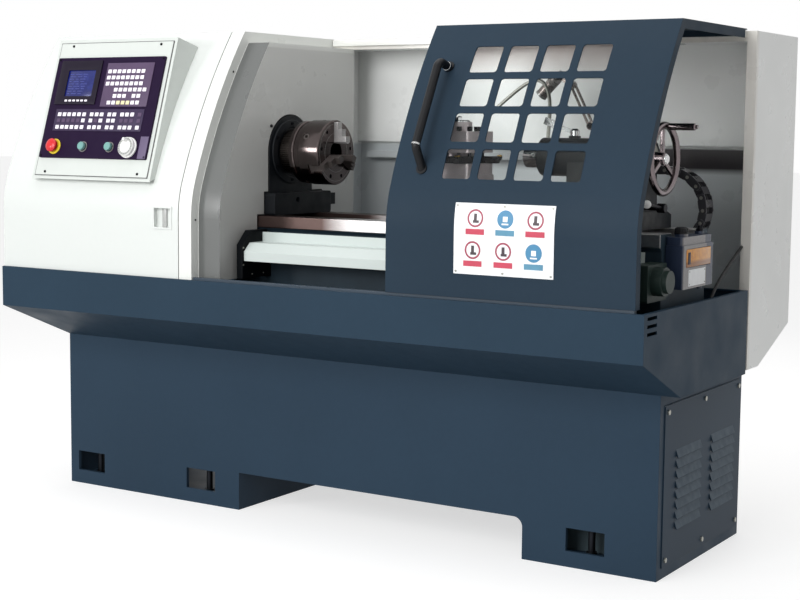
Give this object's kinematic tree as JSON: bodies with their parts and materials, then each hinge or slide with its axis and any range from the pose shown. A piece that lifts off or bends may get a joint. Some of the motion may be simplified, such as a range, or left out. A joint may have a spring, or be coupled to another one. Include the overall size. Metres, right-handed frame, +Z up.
{
  "type": "turning lathe",
  "caption": "Flat-bed turning lathe in a sheet-metal enclosure with jaw chuck, tool turret, tailstock, sliding window door, control panel and rear electrical cabinet.",
  "frame": {"origin": "middle of the footprint's box, on the floor", "axes": "+X along the bed from headstock to tailstock, +Y from the operator's side to the rear cabinet, +Z up"},
  "size_m": [2.25, 1.12, 1.505],
  "materials": {
    "stand_paint": "satin",
    "tray_paint": "satin",
    "zinc_steel": "dull zinc",
    "bed_iron": "ground ways, painted sides",
    "head_paint": "satin",
    "spindle_steel": "ground",
    "chuck_steel": "ground, oiled",
    "jaw_steel": "hardened",
    "pulley_iron": "turned",
    "belt_rubber": "matt",
    "motor_paint": "satin",
    "tank_paint": "satin",
    "slide_iron": "ground",
    "motor_black": "matt",
    "turret_steel": "ground",
    "tool_steel": "black oxide",
    "bracket_black": "satin",
    "drive_paint": "satin",
    "screw_steel": "ground",
    "way_cover_white": "satin",
    "tail_paint": "satin",
    "bright_chrome": "polished",
    "grip_plastic": "gloss",
    "cover_white": "satin",
    "box_white": "satin",
    "plate_white": "satin",
    "panel_dark": "matt",
    "stop_red": "gloss",
    "button_green": "gloss",
    "dial_white": "gloss",
    "guard_paint": "satin",
    "cabinet_paint": "satin",
    "leaf_paint": "satin",
    "switch_black": "gloss",
    "rail_steel": "drawn",
    "door_paint": "satin",
    "pane_clear": "clear",
    "handle_black": "matt",
    "sign_white": "matt",
    "lube_blue": "satin",
    "chain_black": "matt",
    "lamp_black": "satin"
  },
  "bodies": {
    "machine": {"base_stand": "stand_paint", "levelling_jacks": "zinc_steel", "end_cover": "stand_paint", "cover_screws": "zinc_steel", "chip_tray": "tray_paint", "lathe_bed": "bed_iron", "headstock_casting": "head_paint", "drive_belt": "belt_rubber", "main_motor": "motor_paint", "coolant_tank": "tank_paint", "way_cover_bracket": "bracket_black", "z_motor": "drive_paint", "way_cover": "way_cover_white", "headstock_cover": "cover_white", "headstock_wall": "cover_white", "control_box": "box_white", "control_plate": "plate_white", "cnc_panel": "panel_dark", "rear_guard": "guard_paint", "electrical_cabinet": "cabinet_paint", "door_rails": "rail_steel", "lubricator": "lube_blue", "cable_chain": "chain_black", "lamp_base": "lamp_black"},
    "spindle_unit": {"spindle": "spindle_steel", "spindle_pulley": "pulley_iron", "chuck_plate": "chuck_steel", "chuck_body": "chuck_steel"},
    "motor_shaft": {"motor_pulley": "pulley_iron"},
    "scroll": {"chuck_scroll": "jaw_steel"},
    "jaw_1": {"chuck_jaw_1": "jaw_steel"},
    "jaw_2": {"chuck_jaw_2": "jaw_steel"},
    "jaw_3": {"chuck_jaw_3": "jaw_steel"},
    "pinion_1": {"chuck_pinion_1": "jaw_steel"},
    "pinion_2": {"chuck_pinion_2": "jaw_steel"},
    "pinion_3": {"chuck_pinion_3": "jaw_steel"},
    "feed_screw": {"z_screw": "screw_steel"},
    "carriage": {"carriage_saddle": "slide_iron", "x_motor": "motor_black"},
    "cross": {"cross_slide": "slide_iron", "tool_post": "turret_steel"},
    "turret": {"turret_head": "turret_steel", "cutting_tools": "tool_steel"},
    "tailstock": {"tailstock_body": "tail_paint"},
    "tail_quill": {"quill": "bright_chrome"},
    "wheel": {"handwheel": "bright_chrome"},
    "wheel_grip": {"handwheel_grip": "grip_plastic"},
    "clamp_lever": {"quill_lever": "bright_chrome"},
    "stop": {"estop_button": "stop_red"},
    "start": {"start_button": "button_green"},
    "hold": {"hold_button": "button_green"},
    "dial": {"mpg_dial": "dial_white"},
    "cabinet_leaf": {"cabinet_door": "leaf_paint"},
    "switch": {"main_switch": "switch_black"},
    "door": {"sliding_door": "door_paint", "window_pane": "pane_clear", "door_handle": "handle_black", "sign_plate": "sign_white"},
    "lamp_boom": {"lamp_arm": "lamp_black"},
    "lamp": {"lamp_head": "lamp_black"}
  },
  "joints": [
    {"name": "spindle_spin", "type": "hinge", "parent": "machine", "child": "spindle_unit", "pos_m": [-0.225, -0.16, 1.136], "axis": [1, 0, 0], "continuous": true},
    {"name": "motor_spin", "type": "hinge", "parent": "machine", "child": "motor_shaft", "pos_m": [-0.958, -0.16, 0.3], "axis": [1, 0, 0], "continuous": true},
    {"name": "scroll_turn", "type": "hinge", "parent": "spindle_unit", "child": "scroll", "pos_m": [-0.137, -0.16, 1.136], "axis": [1, 0, 0], "range_deg": [-900, 1125]},
    {"name": "jaw_1_slide", "type": "slide", "parent": "spindle_unit", "child": "jaw_1", "axis": [0, 0, 1], "range_m": [-0.02, 0.025]},
    {"name": "pinion_1_turn", "type": "hinge", "parent": "spindle_unit", "child": "pinion_1", "pos_m": [-0.137, -0.16, 1.136], "axis": [0, 0, -1], "range_deg": [-3600, 4500]},
    {"name": "jaw_2_slide", "type": "slide", "parent": "spindle_unit", "child": "jaw_2", "axis": [0, -0.866, -0.5], "range_m": [-0.02, 0.025]},
    {"name": "pinion_2_turn", "type": "hinge", "parent": "spindle_unit", "child": "pinion_2", "pos_m": [-0.137, -0.16, 1.136], "axis": [0, 0.866, 0.5], "range_deg": [-3600, 4500]},
    {"name": "jaw_3_slide", "type": "slide", "parent": "spindle_unit", "child": "jaw_3", "axis": [0, 0.866, -0.5], "range_m": [-0.02, 0.025]},
    {"name": "pinion_3_turn", "type": "hinge", "parent": "spindle_unit", "child": "pinion_3", "pos_m": [-0.137, -0.16, 1.136], "axis": [0, -0.866, 0.5], "range_deg": [-3600, 4500]},
    {"name": "carriage_slide", "type": "slide", "parent": "machine", "child": "carriage", "axis": [1, 0, 0], "range_m": [-0.38, 0.085]},
    {"name": "feed_screw_turn", "type": "hinge", "parent": "machine", "child": "feed_screw", "pos_m": [0.375, -0.39, 0.826], "axis": [1, 0, 0], "range_deg": [-13681, 3061]},
    {"name": "cross_feed", "type": "slide", "parent": "carriage", "child": "cross", "axis": [0, 1, 0], "range_m": [-0.04, 0.035]},
    {"name": "turret_index", "type": "hinge", "parent": "cross", "child": "turret", "pos_m": [0.435, -0.305, 1.14], "axis": [0, 0, 1], "continuous": true},
    {"name": "tailstock_slide", "type": "slide", "parent": "machine", "child": "tailstock", "axis": [1, 0, 0], "range_m": [-0.14, 0]},
    {"name": "handwheel_turn", "type": "hinge", "parent": "tailstock", "child": "wheel", "pos_m": [1.003, -0.16, 1.136], "axis": [1, 0, 0], "range_deg": [-8640, 0]},
    {"name": "quill_feed", "type": "slide", "parent": "tailstock", "child": "tail_quill", "axis": [1, 0, 0], "range_m": [-0.12001, 0]},
    {"name": "grip_spin", "type": "hinge", "parent": "wheel", "child": "wheel_grip", "pos_m": [1.055, -0.16, 1.224], "axis": [1, 0, 0], "continuous": true},
    {"name": "quill_clamp", "type": "hinge", "parent": "tailstock", "child": "clamp_lever", "pos_m": [0.73, -0.16, 1.2], "axis": [0, 0, 1], "range_deg": [-50, 50]},
    {"name": "estop_push", "type": "slide", "parent": "machine", "child": "stop", "axis": [0, 0.9537, -0.3006], "range_m": [0, 0.004]},
    {"name": "start_push", "type": "slide", "parent": "machine", "child": "start", "axis": [0, 0.9537, -0.3006], "range_m": [0, 0.004], "stiffness_N_per_m": 300},
    {"name": "hold_push", "type": "slide", "parent": "machine", "child": "hold", "axis": [0, 0.9537, -0.3006], "range_m": [0, 0.004], "stiffness_N_per_m": 300},
    {"name": "dial_spin", "type": "hinge", "parent": "machine", "child": "dial", "pos_m": [-0.6, -0.53709, 1.1464], "axis": [0, -0.9537, 0.3006], "continuous": true},
    {"name": "cabinet_hinge", "type": "hinge", "parent": "machine", "child": "cabinet_leaf", "pos_m": [-0.991, 0.547, 1.075], "axis": [0, 0, 1], "range_deg": [0, 110]},
    {"name": "main_switch_turn", "type": "hinge", "parent": "machine", "child": "switch", "pos_m": [0.275, 0.545, 1.25], "axis": [0, 1, 0], "range_deg": [0, 90]},
    {"name": "door_slide", "type": "slide", "parent": "machine", "child": "door", "axis": [1, 0, 0], "range_m": [-0.688, 0]},
    {"name": "lamp_boom_tilt", "type": "hinge", "parent": "machine", "child": "lamp_boom", "pos_m": [0.635, 0.147, 1.225], "axis": [0, 1, 0], "range_deg": [-20, 20]},
    {"name": "lamp_head_tilt", "type": "hinge", "parent": "lamp_boom", "child": "lamp", "pos_m": [0.572, 0.134, 1.347], "axis": [0, 1, 0], "range_deg": [-25, 25]}
  ],
  "couplings": [
    {"joint": "motor_spin", "follows": "spindle_spin", "ratio": 1.5807},
    {"joint": "jaw_1_slide", "follows": "scroll_turn", "m_per_rad": 0.001273},
    {"joint": "pinion_1_turn", "follows": "scroll_turn", "ratio": 4},
    {"joint": "jaw_2_slide", "follows": "scroll_turn", "m_per_rad": 0.001273},
    {"joint": "pinion_2_turn", "follows": "scroll_turn", "ratio": 4},
    {"joint": "jaw_3_slide", "follows": "scroll_turn", "m_per_rad": 0.001273},
    {"joint": "pinion_3_turn", "follows": "scroll_turn", "ratio": 4},
    {"joint": "feed_screw_turn", "follows": "carriage_slide", "rad_per_m": 628.32},
    {"joint": "quill_feed", "follows": "handwheel_turn", "m_per_rad": 0.0007957}
  ]
}
